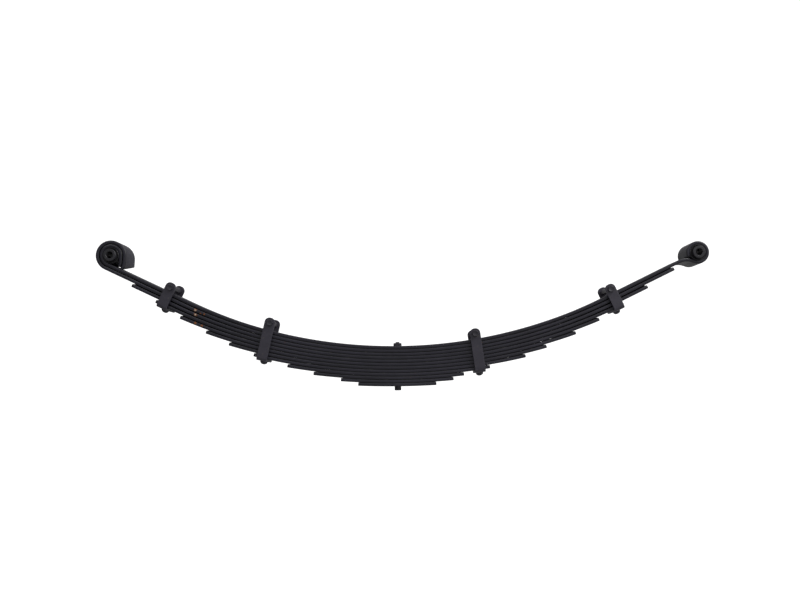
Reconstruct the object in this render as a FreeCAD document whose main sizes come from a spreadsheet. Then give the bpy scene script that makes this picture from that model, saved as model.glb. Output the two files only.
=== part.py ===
import FreeCAD, Part
import math
import os
import Sketcher
from FreeCAD import Placement, Rotation, Vector

# Semi-elliptic leaf spring: a nested pack of steel leaves held by one centre bolt and four rebound
# clips, with a rubber bush in the rolled eye at each end of the main leaf.
# Frame: millimetres, +Z up, X along the spring (front eye at -X, rear eye at +X), Y across the leaves.
# Origin: the spring seat, where the centre bolt axis meets the underside of the lowest leaf.

SIZES = {
    "leaf_thickness": 8.0,
    "leaf_width": 70.0,
    "edge_rounding": 1.6,
    "arch_radius": 1145.0,          # concave face of the main leaf
    "arch_angle": 25.8,             # the leaves run straight once they reach this slope, degrees
    "front_eye_x": -677.0,
    "rear_eye_x": 715.0,
    "eye_bore": 38.0,
    "front_tail_angle": 5.0,        # turn of the front coil past its outermost point, degrees
    "front_tail_length": 21.0,
    "wrapper_clearance": 1.2,
    "wrapper_tail_length": 24.0,
    "rear_reverse_bend": 42.0,
    "rear_coil_end": 178.0,         # end of the rear coil, degrees round from the leaf direction
    "centre_bolt_diameter": 10.0,
    "centre_bolt_hole": 10.4,
    "centre_head_diameter": 16.0,
    "centre_head_height": 10.0,
    "centre_nut_flats": 17.0,
    "centre_nut_height": 8.0,
    "centre_nut_seat_gap": 0.08,
    "centre_stub": 2.6,
    "thread_clearance": 0.05,
    "bush_shell_outer": 37.9,
    "bush_shell_inner": 34.9,
    "bush_rubber_outer": 34.9,
    "bush_rubber_inner": 29.1,
    "bush_rubber_length": 66.0,
    "bush_sleeve_outer": 29.0,
    "bush_sleeve_inner": 16.0,
    "bush_sleeve_length": 90.0,
    "clip_width": 25.0,
    "clip_thickness": 6.0,
    "clip_side_gap": 1.0,
    "clip_seat_gap": 0.1,
    "clip_outer_bend": 8.0,
    "clip_inner_bend": 2.0,
    "clip_bolt_diameter": 8.0,
    "clip_bolt_hole": 8.6,
    "clip_head_flats": 13.0,
    "clip_head_height": 5.3,
    "clip_nut_height": 6.5,
    "clip_stub": 2.5,
    "spacer_outer": 14.0,
    "rivet_diameter": 10.0,
    "rivet_clearance": 0.1,
    "rivet_dome_radius": 9.0,
    "rivet_dome_height": 7.5,
    "rivet_flush_radius": 8.0,
    "rivet_flush_depth": 3.0,
    "rivet_flush_play": 0.25,       # the set head is this much smaller than its countersink
}

# Tip of each plain leaf below the two eye leaves: distance forward and rearward of the centre bolt.
LEAF_TIPS = [
    (630.0, 597.0),
    (573.5, 539.0),
    (516.0, 481.0),
    (455.0, 425.0),
    (400.5, 355.0),
    (342.0, 305.0),
    (262.0, 220.0),
    (200.0, 158.0),
    (135.0, 133.0),
    (94.0, 92.0),
]
WRAPPER_REAR_TIP = 660.0
LEAF_COUNT = len(LEAF_TIPS) + 2

# The gap between neighbouring leaves opens with the distance from the centre bolt, up to a limit.
GAP_PER_LENGTH = 0.0037
GAP_LIMIT = 2.2
WRAPPER_GAP = 1.6

# Rebound clips: name, leaf it is riveted to, rivet position along X, bolt axis above the main leaf.
CLIPS = [
    ("front_outer_clip", 4, -556.0, 10.0),
    ("front_inner_clip", 8, -321.0, 16.5),
    ("rear_inner_clip", 9, 196.0, 12.0),
    ("rear_outer_clip", 4, 526.0, 10.0),
]

doc = FreeCAD.newDocument("leaf_spring")
sheet = doc.addObject("Spreadsheet::Sheet", "Sizes")


def store_size(row, alias, value):
    sheet.set("A%d" % row, alias)
    sheet.set("B%d" % row, repr(float(value)))
    sheet.setAlias("B%d" % row, alias)


def leaf_name(number):
    ending = {1: "_main", 2: "_wrapper"}.get(number, "")
    return "leaf_%02d%s" % (number, ending)


def leaf_radii():
    """Concave radius of every leaf, from the main leaf down, opened out by the gap at its tips."""
    arch = math.radians(SIZES["arch_angle"])
    radii = [SIZES["arch_radius"]]
    straight_share = 1.0 - math.cos(arch)
    radii.append(radii[-1] + SIZES["leaf_thickness"] + WRAPPER_GAP / straight_share)
    for front, rear in LEAF_TIPS:
        nested = radii[-1] + SIZES["leaf_thickness"]
        reach = 0.5 * (front + rear)
        gap = min(GAP_PER_LENGTH * reach, GAP_LIMIT)
        turn = min(arch, math.asin(reach / nested))
        radii.append(nested + gap / (1.0 - math.cos(turn)))
    return radii


for index, radius in enumerate(leaf_radii(), start=1):
    SIZES["radius_%02d" % index] = radius
for index, (front, rear) in enumerate(LEAF_TIPS, start=3):
    SIZES["front_tip_%02d" % index] = -front
    SIZES["rear_tip_%02d" % index] = rear
SIZES["rear_tip_02"] = WRAPPER_REAR_TIP
for row, (alias, value) in enumerate(SIZES.items(), start=1):
    store_size(row, alias, value)
doc.recompute()


def size(alias):
    return float(sheet.get(alias))


THICKNESS = size("leaf_thickness")
ARCH = math.radians(size("arch_angle"))
BORE_RADIUS = size("eye_bore") / 2.0


def face_height(number):
    """Height of a leaf's concave face above the seat, on the centre bolt axis."""
    return (LEAF_COUNT + 1 - number) * THICKNESS


def arch_centre(number):
    return Vector(0.0, face_height(number) + size("radius_%02d" % number), 0.0)


def on_circle(centre, radius, degrees):
    angle = math.radians(degrees)
    return centre + Vector(radius * math.cos(angle), radius * math.sin(angle), 0.0)


def face_point(number, x, depth):
    """Point at X on the face lying `depth` below a leaf's concave face, and the slope there."""
    centre = arch_centre(number)
    radius = size("radius_%02d" % number) + depth
    reach = radius * math.sin(ARCH)
    if abs(x) <= reach:
        turn = math.asin(x / radius)
        return Vector(x, centre.y - radius * math.cos(turn), 0.0), turn
    rise = (abs(x) - reach) * math.tan(ARCH)
    height = centre.y - radius * math.cos(ARCH) + rise
    return Vector(x, height, 0.0), math.copysign(ARCH, x)


class Outline:
    """A closed sketch outline: lines and arcs that meet end to end."""

    def __init__(self, sketch):
        self.sketch = sketch

    def line(self, start, end):
        return self.sketch.addGeometry(Part.LineSegment(start, end), False)

    def arc(self, centre, radius, first, last):
        circle = Part.Circle(centre, Vector(0, 0, 1), radius)
        arc = Part.ArcOfCircle(circle, math.radians(first), math.radians(last))
        return self.sketch.addGeometry(arc, False)

    def circle(self, centre, radius):
        return self.sketch.addGeometry(Part.Circle(centre, Vector(0, 0, 1), radius), False)

    def rule(self, *args):
        return self.sketch.addConstraint(Sketcher.Constraint(*args))

    def bound(self, name, expression, *args):
        """A named dimension that follows a cell of the sheet."""
        index = self.rule(*args)
        self.sketch.renameConstraint(index, name)
        self.sketch.setExpression("Constraints." + name, expression)

    def smooth(self, first, first_end, second, second_end):
        self.rule("Tangent", first, first_end, second, second_end)

    def joined(self, first, first_end, second, second_end):
        self.rule("Coincident", first, first_end, second, second_end)

    def arch(self, number, front, rear):
        """The two concentric arcs of a leaf's arch; they start and end at the given angles."""
        centre = arch_centre(number)
        radius = size("radius_%02d" % number)
        cell = "Sizes.radius_%02d" % number
        top = self.arc(centre, radius, front[0], rear[0])
        bottom = self.arc(centre, radius + THICKNESS, front[1], rear[1])
        height = "%d * Sizes.leaf_thickness + %s" % (LEAF_COUNT + 1 - number, cell)
        self.rule("PointOnObject", top, 3, -2)
        self.bound("arch_centre", height, "DistanceY", -1, 1, top, 3, centre.y)
        self.bound("top_radius", cell, "Radius", top, radius)
        self.joined(bottom, 3, top, 3)
        self.bound("bottom_radius", cell + " + Sizes.leaf_thickness", "Radius", bottom, radius + THICKNESS)
        return top, bottom


def origin_plane(body, role):
    return [part for part in body.Origin.OriginFeatures if part.Role == role][0]


def new_body(label):
    body = doc.addObject("PartDesign::Body", label)
    body.Label = label
    return body


def new_sketch(body, role, name, offset=None):
    sketch = body.newObject("Sketcher::SketchObject", body.Name + "_" + name)
    sketch.AttachmentSupport = (origin_plane(body, role), [""])
    sketch.MapMode = "FlatFace"
    if offset is not None:
        sketch.AttachmentOffset = offset
    return sketch


def pad_across(body, sketch, length):
    """Extrude a sketch equally to both sides of its plane; `length` is a sheet expression."""
    pad = body.newObject("PartDesign::Pad", body.Name + "_pad")
    pad.Profile = sketch
    pad.SideType = "Symmetric"
    pad.setExpression("Length", length)
    sketch.Visibility = False
    return pad


def drill(body, role, name, diameter, offset=None):
    """A round hole right through the body, centred on the offset origin of one of its planes."""
    sketch = new_sketch(body, role, name, offset)
    outline = Outline(sketch)
    hole = outline.circle(Vector(0, 0, 0), size(diameter) / 2.0)
    outline.rule("Coincident", hole, 3, -1, 1)
    outline.bound("hole_size", "Sizes." + diameter, "Diameter", hole, size(diameter))
    pocket = body.newObject("PartDesign::Pocket", body.Name + "_" + name + "_cut")
    pocket.Profile = sketch
    pocket.SideType = "Symmetric"
    pocket.Type = "ThroughAll"
    sketch.Visibility = False
    return pocket


def round_edges(body, feature, radius, wanted):
    """Round the edges of a feature that pass the test `wanted(edge)`."""
    doc.recompute()
    names = []
    for position, edge in enumerate(feature.Shape.Edges, start=1):
        if wanted(edge):
            names.append("Edge%d" % position)
    fillet = body.newObject("PartDesign::Fillet", body.Name + "_rounding")
    fillet.Base = (feature, names)
    fillet.setExpression("Radius", radius)
    return fillet


def long_side_edge(edge):
    """True for the edges that run along a leaf on either flank."""
    half = size("leaf_width") / 2.0
    across = [vertex.Point.y for vertex in edge.Vertexes]
    on_flank = min(across) > half - 0.01 or max(across) < 0.01 - half
    return on_flank and edge.Length > THICKNESS + 1.0


def finish_leaf(body, sketch):
    pad = pad_across(body, sketch, "Sizes.leaf_width")
    round_edges(body, pad, "Sizes.edge_rounding", long_side_edge)
    drill(body, "XY_Plane", "centre_hole", "centre_bolt_hole")


def straight_end(outline, number, side, tip_cell):
    """Square-cut end of a plain leaf. Returns the arch angles there and a call that draws the end."""
    tip, slope = face_point(number, size(tip_cell), THICKNESS)
    normal = Vector(-math.sin(slope), math.cos(slope), 0.0)
    straight = abs(slope) >= ARCH
    turn = math.degrees(slope) - 90.0
    corner = tip + normal * THICKNESS

    def draw(top, bottom):
        end = 1 if side < 0 else 2
        if not straight:
            cap = outline.line(corner, tip)
            outline.joined(cap, 1, top, end)
            outline.joined(cap, 2, bottom, end)
            outline.rule("PointOnObject", top, 3, cap)
            outline.bound("tip_%d" % end, "Sizes." + tip_cell, "DistanceX", -1, 1, bottom, end, tip.x)
            return
        centre = arch_centre(number)
        radius = size("radius_%02d" % number)
        upper = outline.line(on_circle(centre, radius, turn), corner)
        lower = outline.line(on_circle(centre, radius + THICKNESS, turn), tip)
        cap = outline.line(corner, tip)
        outline.smooth(top, end, upper, 1)
        outline.smooth(bottom, end, lower, 1)
        outline.joined(upper, 2, cap, 1)
        outline.joined(lower, 2, cap, 2)
        angle = math.pi - ARCH if side < 0 else ARCH
        formula = "180 deg - Sizes.arch_angle * 1 deg" if side < 0 else "Sizes.arch_angle * 1 deg"
        outline.bound("slope_%d" % end, formula, "Angle", upper, angle)
        outline.rule("Parallel", upper, lower)
        outline.rule("Perpendicular", cap, upper)
        outline.bound("tip_%d" % end, "Sizes." + tip_cell, "DistanceX", -1, 1, lower, 2, tip.x)

    return turn, draw


def plain_leaf(number):
    body = new_body(leaf_name(number))
    sketch = new_sketch(body, "XZ_Plane", "side_profile")
    outline = Outline(sketch)
    front_turn, draw_front = straight_end(outline, number, -1, "front_tip_%02d" % number)
    rear_turn, draw_rear = straight_end(outline, number, 1, "rear_tip_%02d" % number)
    top, bottom = outline.arch(number, (front_turn, front_turn), (rear_turn, rear_turn))
    draw_front(top, bottom)
    draw_rear(top, bottom)
    finish_leaf(body, sketch)
    return body


def front_axes():
    """Unit vectors of the straight front run: outward along the leaf and up from its face."""
    along = Vector(-math.cos(ARCH), math.sin(ARCH), 0.0)
    up = Vector(math.sin(ARCH), math.cos(ARCH), 0.0)
    return along, up


def front_eye_centre():
    """The front eye is turned up: its bore rests on the straight line of the concave face."""
    along, up = front_axes()
    start = on_circle(arch_centre(1), size("radius_01"), -90.0 - size("arch_angle"))
    reach = (size("front_eye_x") - start.x - up.x * BORE_RADIUS) / along.x
    return start + along * reach + up * BORE_RADIUS


def rear_eye_centre():
    """The rear eye is centred on the leaf: its centre lies on the middle line of the straight run."""
    start = on_circle(arch_centre(1), size("radius_01") + THICKNESS / 2.0, size("arch_angle") - 90.0)
    run = size("rear_eye_x") - start.x
    return Vector(size("rear_eye_x"), start.y + run * math.tan(ARCH), 0.0)


def front_coil(outline, number, top, bottom, centre, radius, radius_cell, tail_cell):
    """Coil at the front end: round from the underside, outside and over the top, then a straight tail."""
    along, up = front_axes()
    base = 270.0 - size("arch_angle")
    last = -size("front_tail_angle")
    arch_turn = -90.0 - size("arch_angle")
    tail = on_circle(Vector(0, 0, 0), 1.0, last - 90.0) * size(tail_cell)
    sides = []
    for name, arch, extra in (("inner", top, 0.0), ("outer", bottom, THICKNESS)):
        start = on_circle(arch_centre(number), size("radius_%02d" % number) + extra, arch_turn)
        coil = outline.arc(centre, radius + extra, last, base)
        straight = outline.line(on_circle(centre, radius + extra, base), start)
        turn_end = on_circle(centre, radius + extra, last)
        run_out = outline.line(turn_end, turn_end + tail)
        outline.smooth(straight, 2, arch, 1)
        outline.smooth(straight, 1, coil, 2)
        outline.smooth(coil, 1, run_out, 1)
        cell = radius_cell + (" + Sizes.leaf_thickness" if extra else "")
        outline.bound("front_%s_radius" % name, cell, "Radius", coil, radius + extra)
        sides.append((coil, straight, run_out))
    inner, outer = sides
    outline.joined(outer[0], 3, inner[0], 3)
    outline.bound("front_slope", "-Sizes.arch_angle * 1 deg", "Angle", inner[1], -ARCH)
    outline.bound("front_tail", "Sizes." + tail_cell, "Distance", inner[2], size(tail_cell))
    outline.bound("tail_slope", "-90 deg - Sizes.front_tail_angle * 1 deg", "Angle", inner[2],
                  math.radians(last - 90.0))
    outline.rule("Parallel", inner[2], outer[2])
    cap = outline.line(on_circle(centre, radius, last) + tail,
                       on_circle(centre, radius + THICKNESS, last) + tail)
    outline.joined(cap, 1, inner[2], 2)
    outline.joined(cap, 2, outer[2], 2)
    outline.rule("Perpendicular", cap, inner[2])
    return inner[0]


def rear_coil(outline, top, bottom):
    """Coil at the rear end: a reverse bend carries the leaf below the eye, then round and over it."""
    slope = size("arch_angle")
    centre = rear_eye_centre()
    bend = size("rear_reverse_bend")
    middle = BORE_RADIUS + THICKNESS / 2.0
    setback = math.sqrt((bend + middle) ** 2 - bend ** 2)
    turn = Rotation(Vector(0, 0, 1), slope)
    bend_centre = centre + turn.multVec(Vector(-setback, -bend, 0.0))
    meeting = math.degrees(math.atan2(bend, setback)) + slope
    last = size("rear_coil_end") + slope
    sides = []
    for name, arch, extra in (("inner", top, 0.0), ("outer", bottom, THICKNESS)):
        reverse_radius = bend + THICKNESS / 2.0 - extra
        arch_end = on_circle(arch_centre(1), size("radius_01") + extra, slope - 90.0)
        straight = outline.line(arch_end, on_circle(bend_centre, reverse_radius, slope + 90.0))
        reverse = outline.arc(bend_centre, reverse_radius, meeting, slope + 90.0)
        coil = outline.arc(centre, BORE_RADIUS + extra, meeting + 180.0, last + 360.0)
        outline.smooth(arch, 2, straight, 1)
        outline.smooth(straight, 2, reverse, 2)
        outline.smooth(reverse, 1, coil, 1)
        sides.append((straight, reverse, coil))
        sign = "-" if extra else "+"
        outline.bound("reverse_%s_radius" % name, "Sizes.rear_reverse_bend %s Sizes.leaf_thickness / 2" % sign,
                      "Radius", reverse, reverse_radius)
    inner, outer = sides
    outline.bound("rear_bore_radius", "Sizes.eye_bore / 2", "Radius", inner[2], BORE_RADIUS)
    outline.joined(outer[1], 3, inner[1], 3)
    outline.joined(outer[2], 3, inner[2], 3)
    outline.bound("rear_slope", "Sizes.arch_angle * 1 deg", "Angle", inner[0], ARCH)
    outline.bound("rear_eye_offset", "Sizes.leaf_thickness / 2", "Distance", inner[2], 3, inner[0],
                  THICKNESS / 2.0)
    outline.bound("rear_eye_x", "Sizes.rear_eye_x", "DistanceX", -1, 1, inner[2], 3, centre.x)
    inner_tip = on_circle(centre, BORE_RADIUS, last)
    cap = outline.line(inner_tip, on_circle(centre, BORE_RADIUS + THICKNESS, last))
    outline.joined(cap, 1, inner[2], 2)
    outline.joined(cap, 2, outer[2], 2)
    outline.rule("PointOnObject", inner[2], 3, cap)
    outline.rule("DistanceX", inner[2], 2, inner[2], 3, centre.x - inner_tip.x)


def main_leaf():
    body = new_body(leaf_name(1))
    sketch = new_sketch(body, "XZ_Plane", "side_profile")
    outline = Outline(sketch)
    front = -90.0 - size("arch_angle")
    rear = size("arch_angle") - 90.0
    top, bottom = outline.arch(1, (front, front), (rear, rear))
    centre = front_eye_centre()
    coil = front_coil(outline, 1, top, bottom, centre, BORE_RADIUS, "Sizes.eye_bore / 2", "front_tail_length")
    outline.bound("front_eye_x", "Sizes.front_eye_x", "DistanceX", -1, 1, coil, 3, centre.x)
    rear_coil(outline, top, bottom)
    finish_leaf(body, sketch)
    return body


def wrapper_leaf():
    """Second leaf: it follows the main leaf and wraps loosely round the outside of the front eye."""
    body = new_body(leaf_name(2))
    sketch = new_sketch(body, "XZ_Plane", "side_profile")
    outline = Outline(sketch)
    rear_turn, draw_rear = straight_end(outline, 2, 1, "rear_tip_02")
    front = -90.0 - size("arch_angle")
    top, bottom = outline.arch(2, (front, front), (rear_turn, rear_turn))
    along, up = front_axes()
    radius = BORE_RADIUS + THICKNESS + size("wrapper_clearance")
    start = on_circle(arch_centre(2), size("radius_02"), front)
    rise = (front_eye_centre() - start).dot(along)
    centre = start + along * rise + up * radius
    cell = "Sizes.eye_bore / 2 + Sizes.leaf_thickness + Sizes.wrapper_clearance"
    coil = front_coil(outline, 2, top, bottom, centre, radius, cell, "wrapper_tail_length")
    outline.rule("DistanceX", -1, 1, coil, 3, centre.x)
    draw_rear(top, bottom)
    finish_leaf(body, sketch)
    return body


def clip_frame(number, x):
    """Placement on the convex face of a leaf: local Z leaves the leaf upward along its normal."""
    point, slope = face_point(number, x, THICKNESS)
    return Placement(Vector(point.x, 0.0, point.y), Rotation(Vector(0, 1, 0), -math.degrees(slope)))


def rivet_seat(body, number, x):
    """Countersunk rivet hole through a leaf, square to the leaf."""
    frame = clip_frame(number, x)
    angle = face_point(number, x, THICKNESS)[1]
    offset = Placement(Vector(frame.Base.x, frame.Base.z, 0.0), Rotation(Vector(0, 0, 1), math.degrees(angle)))
    sketch = new_sketch(body, "XZ_Plane", "rivet_seat_%d" % abs(x), offset)
    hole = size("rivet_diameter") / 2.0 + size("rivet_clearance")
    sink = size("rivet_flush_radius") + size("rivet_clearance")
    depth = size("rivet_flush_depth")
    corners = [(0, -1), (hole, -1), (hole, THICKNESS - depth), (sink, THICKNESS), (sink, THICKNESS + 0.5),
               (0, THICKNESS + 0.5)]
    polygon(sketch, corners)
    groove = body.newObject("PartDesign::Groove", body.Name + "_rivet_seat_cut_%d" % abs(x))
    groove.Profile = sketch
    groove.ReferenceAxis = (sketch, ["V_Axis"])
    groove.Angle = 360.0
    sketch.Visibility = False


def polygon(sketch, corners):
    """Closed straight-sided outline through the given corners."""
    outline = Outline(sketch)
    points = [Vector(x, y, 0.0) for x, y in corners]
    lines = []
    for start, end in zip(points, points[1:] + points[:1]):
        lines.append(outline.line(start, end))
    for first, second in zip(lines, lines[1:] + lines[:1]):
        outline.joined(first, 2, second, 1)
    return lines


def clip_bolt_height(number, x, above_leaf):
    """Height of the clip bolt axis above the clip's seat, measured along the clip."""
    frame = clip_frame(number, x)
    normal = frame.Rotation.multVec(Vector(0, 0, 1))
    base = frame.Base
    # Walk up the clip until the distance to the main leaf's concave face is the wanted rise.
    centre = arch_centre(1)
    height = 0.0
    for _ in range(40):
        point = base + normal * height
        radial = Vector(point.x - centre.x, point.z - centre.y, 0.0)
        angle = math.atan2(abs(radial.x), -radial.y)
        if angle <= ARCH:
            above = size("radius_01") - radial.Length
        else:
            away = Vector(math.sin(ARCH), -math.cos(ARCH), 0.0)
            above = size("radius_01") - (abs(radial.x) * away.x + radial.y * away.y)
        height += above_leaf - above
    return height


def clip_strap(label, frame, rise):
    """U-shaped strap: flat base under the leaf, two legs with rounded tops and bolt holes."""
    body = new_body(label)
    half_inner = size("leaf_width") / 2.0 + size("clip_side_gap")
    half_outer = half_inner + size("clip_thickness")
    base_top = -size("clip_seat_gap")
    base_bottom = base_top - size("clip_thickness")
    leg_top = rise + size("clip_width") / 2.0
    sketch = new_sketch(body, "YZ_Plane", "strap_section")
    outline = Outline(sketch)
    outer_bend = size("clip_outer_bend")
    inner_bend = size("clip_inner_bend")
    walls = []
    for half, floor, bend in ((half_outer, base_bottom, outer_bend), (half_inner, base_top, inner_bend)):
        left_leg = outline.line(Vector(-half, leg_top, 0), Vector(-half, floor + bend, 0))
        left_bend = outline.arc(Vector(-half + bend, floor + bend, 0), bend, 180.0, 270.0)
        base = outline.line(Vector(-half + bend, floor, 0), Vector(half - bend, floor, 0))
        right_bend = outline.arc(Vector(half - bend, floor + bend, 0), bend, 270.0, 360.0)
        right_leg = outline.line(Vector(half, floor + bend, 0), Vector(half, leg_top, 0))
        outline.smooth(left_leg, 2, left_bend, 1)
        outline.smooth(left_bend, 2, base, 1)
        outline.smooth(base, 2, right_bend, 1)
        outline.smooth(right_bend, 2, right_leg, 1)
        walls.append((left_leg, right_leg, base))
    for side, end in ((0, 1), (1, 2)):
        x = half_outer if side else -half_outer
        inner_x = half_inner if side else -half_inner
        cap = outline.line(Vector(x, leg_top, 0), Vector(inner_x, leg_top, 0))
        outline.joined(cap, 1, walls[0][side], end)
        outline.joined(cap, 2, walls[1][side], end)
    pad = pad_across(body, sketch, "Sizes.clip_width")

    def top_corner(edge):
        ends = [vertex.Point for vertex in edge.Vertexes]
        along_y = abs(ends[0].y - ends[-1].y) > 1.0
        return along_y and min(point.z for point in ends) > leg_top - 0.01

    round_edges(body, pad, "Sizes.clip_width * 0.46", top_corner)
    drill(body, "XZ_Plane", "bolt_hole", "clip_bolt_hole", Placement(Vector(0, rise, 0), Rotation()))
    rivet_hole = drill(body, "XY_Plane", "rivet_hole", "rivet_diameter")
    rivet_hole.Profile[0].setExpression(
        "Constraints.hole_size", "Sizes.rivet_diameter + 2 * Sizes.rivet_clearance")
    body.Placement = frame
    return body


def revolved(label, corners, frame):
    """Body turned about its own Z axis from a half section given as (radius, height) corners."""
    body = new_body(label)
    sketch = new_sketch(body, "XZ_Plane", "half_section")
    polygon(sketch, corners)
    turned = body.newObject("PartDesign::Revolution", body.Name + "_turned")
    turned.Profile = sketch
    turned.ReferenceAxis = (sketch, ["V_Axis"])
    turned.Angle = 360.0
    sketch.Visibility = False
    body.Placement = frame
    return body


def clip_rivet(label, frame):
    shank = size("rivet_diameter") / 2.0
    flush = size("rivet_flush_radius") - size("rivet_flush_play")
    top = THICKNESS - 0.15
    strap_face = -size("clip_seat_gap") - size("clip_thickness")
    dome = size("rivet_dome_radius")
    height = size("rivet_dome_height")
    neck = top - size("rivet_flush_depth") + size("rivet_flush_play")
    corners = [(0.0, top), (flush, top), (shank, neck), (shank, strap_face)]
    steps = 7
    for step in range(steps + 1):
        angle = math.radians(90.0 * step / steps)
        corners.append((dome * math.cos(angle), strap_face - height * math.sin(angle)))
    corners[-1] = (0.0, strap_face - height)
    return revolved(label, corners, frame)


def ring(label, outer, inner, length, frame):
    """Plain tube along Y."""
    body = new_body(label)
    sketch = new_sketch(body, "XZ_Plane", "tube_section")
    outline = Outline(sketch)
    for name, cell in (("outer_size", outer), ("inner_size", inner)):
        circle = outline.circle(Vector(0, 0, 0), size(cell) / 2.0)
        outline.rule("Coincident", circle, 3, -1, 1)
        outline.bound(name, "Sizes." + cell, "Diameter", circle, size(cell))
    pad_across(body, sketch, length)
    body.Placement = frame
    return body


def primitive(kind, name, values, placement=None):
    part = doc.addObject("Part::" + kind, name)
    for prop, expression in values.items():
        if isinstance(expression, str):
            part.setExpression(prop, expression)
        else:
            setattr(part, prop, expression)
    if placement is not None:
        part.Placement = placement
    return part


def boolean(kind, label, base, tool):
    joined = doc.addObject("Part::" + kind, label)
    joined.Base = base
    joined.Tool = tool
    joined.Label = label
    return joined


def hexagon(name, flats, height, placement):
    """Hexagonal prism with its rim corners turned off at about 30 degrees."""
    across = "Sizes.%s / cos(30 deg)" % flats
    prism = primitive("Prism", name + "_prism", {
        "Polygon": 6,
        "Circumradius": across + " / 2",
        "Height": "Sizes." + height,
    }, placement)
    cone = primitive("Cone", name + "_rim", {
        "Radius1": "Sizes.%s / 2 + Sizes.%s * tan(60 deg)" % (flats, height),
        "Radius2": "Sizes.%s / 2 - 0.2" % flats,
        "Height": "Sizes." + height,
    }, placement)
    turned = doc.addObject("Part::MultiCommon", name + "_hexagon")
    turned.Shapes = [prism, cone]
    return turned


UPRIGHT = Rotation()
TOWARD_FAR = Rotation(Vector(1, 0, 0), -90)   # local Z turned to +Y
TOWARD_NEAR = Rotation(Vector(1, 0, 0), 90)   # local Z turned to -Y


def centre_bolt():
    stack = "%d * Sizes.leaf_thickness" % LEAF_COUNT
    shank = primitive("Cylinder", "centre_bolt_shank", {
        "Radius": "Sizes.centre_bolt_diameter / 2",
        "Height": stack + " + Sizes.centre_nut_height + Sizes.centre_stub + 1",
    }, Placement(Vector(0, 0, -1), UPRIGHT))
    head = primitive("Cylinder", "centre_bolt_head_blank", {
        "Radius": "Sizes.centre_head_diameter / 2",
        "Height": "Sizes.centre_head_height",
    }, Placement(Vector(0, 0, -size("centre_head_height")), UPRIGHT))
    return boolean("Fuse", "centre_bolt", shank, head)


def nut(label, flats, height, bore, placement):
    blank = hexagon(label, flats, height, placement)
    hole = primitive("Cylinder", label + "_thread", {
        "Radius": "Sizes.%s / 2 + Sizes.thread_clearance" % bore,
        "Height": "Sizes.%s + 2" % height,
    }, placement * Placement(Vector(0, 0, -1), UPRIGHT))
    return boolean("Cut", label, blank, hole)


def clip_bolt(label, frame, rise):
    """Hexagon bolt across the clip: head on the near leg, thread end through the nut on the far leg."""
    half = size("leaf_width") / 2.0 + size("clip_side_gap") + size("clip_thickness")
    head_seat = frame * Placement(Vector(0, -half, rise), TOWARD_NEAR)
    head = hexagon(label + "_head", "clip_head_flats", "clip_head_height", head_seat)
    shank = primitive("Cylinder", label + "_shank", {
        "Radius": "Sizes.clip_bolt_diameter / 2",
        "Height": "Sizes.leaf_width + 2 * Sizes.clip_side_gap + 2 * Sizes.clip_thickness"
                  " + Sizes.clip_nut_height + Sizes.clip_stub + 1",
    }, frame * Placement(Vector(0, -half - 1.0, rise), TOWARD_FAR))
    return boolean("Fuse", label, head, shank)


def clip(name, number, x, above_leaf):
    frame = clip_frame(number, x)
    rise = clip_bolt_height(number, x, above_leaf)
    half = size("leaf_width") / 2.0 + size("clip_side_gap") + size("clip_thickness")
    nut_seat = frame * Placement(Vector(0, half, rise), TOWARD_FAR)
    bolt_axis = frame * Placement(Vector(0, 0, rise), UPRIGHT)
    return [
        clip_strap(name + "_strap", frame, rise),
        clip_rivet(name + "_rivet", frame),
        clip_bolt(name + "_bolt", frame, rise),
        nut(name + "_nut", "clip_head_flats", "clip_nut_height", "clip_bolt_diameter", nut_seat),
        ring(name + "_spacer", "spacer_outer", "clip_bolt_hole",
             "Sizes.leaf_width + 2 * Sizes.clip_side_gap", bolt_axis),
    ]


def bush(name, centre):
    frame = Placement(Vector(centre.x, 0.0, centre.y), UPRIGHT)
    return [
        ring(name + "_shell", "bush_shell_outer", "bush_shell_inner", "Sizes.leaf_width", frame),
        ring(name + "_rubber", "bush_rubber_outer", "bush_rubber_inner", "Sizes.bush_rubber_length", frame),
        ring(name + "_sleeve", "bush_sleeve_outer", "bush_sleeve_inner", "Sizes.bush_sleeve_length", frame),
    ]


pieces = [main_leaf(), wrapper_leaf()]
for number in range(3, LEAF_COUNT + 1):
    pieces.append(plain_leaf(number))
for name, number, x, above_leaf in CLIPS:
    rivet_seat(pieces[number - 1], number, x)
pieces.append(centre_bolt())
pieces.append(nut("centre_bolt_nut", "centre_nut_flats", "centre_nut_height", "centre_bolt_diameter",
                  Placement(Vector(0, 0, LEAF_COUNT * THICKNESS + size("centre_nut_seat_gap")), UPRIGHT)))
pieces.extend(bush("front_bush", front_eye_centre()))
pieces.extend(bush("rear_bush", rear_eye_centre()))
for name, number, x, above_leaf in CLIPS:
    pieces.extend(clip(name, number, x, above_leaf))

doc.recompute()
for item in doc.Objects:
    for state in ("Invalid", "Error"):
        if state in item.State:
            raise RuntimeError("%s is %s" % (item.Label, state))

os.makedirs("parts", exist_ok=True)
for piece in pieces:
    shape = piece.Shape
    if shape.isNull() or not shape.isValid() or len(shape.Solids) != 1:
        raise RuntimeError("%s is not one valid solid" % piece.Label)
    shape.exportStep("parts/%s.step" % piece.Label)
    box = shape.BoundBox
    print("%-24s volume %10.0f  x %7.1f..%7.1f  y %6.1f..%6.1f  z %6.1f..%6.1f" % (
        piece.Label, shape.Volume, box.XMin, box.XMax, box.YMin, box.YMax, box.ZMin, box.ZMax))
print("front eye", front_eye_centre(), "rear eye", rear_eye_centre())
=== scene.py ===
import math

import bmesh
import bpy
import numpy as np
from mathutils import Matrix, Vector


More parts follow.
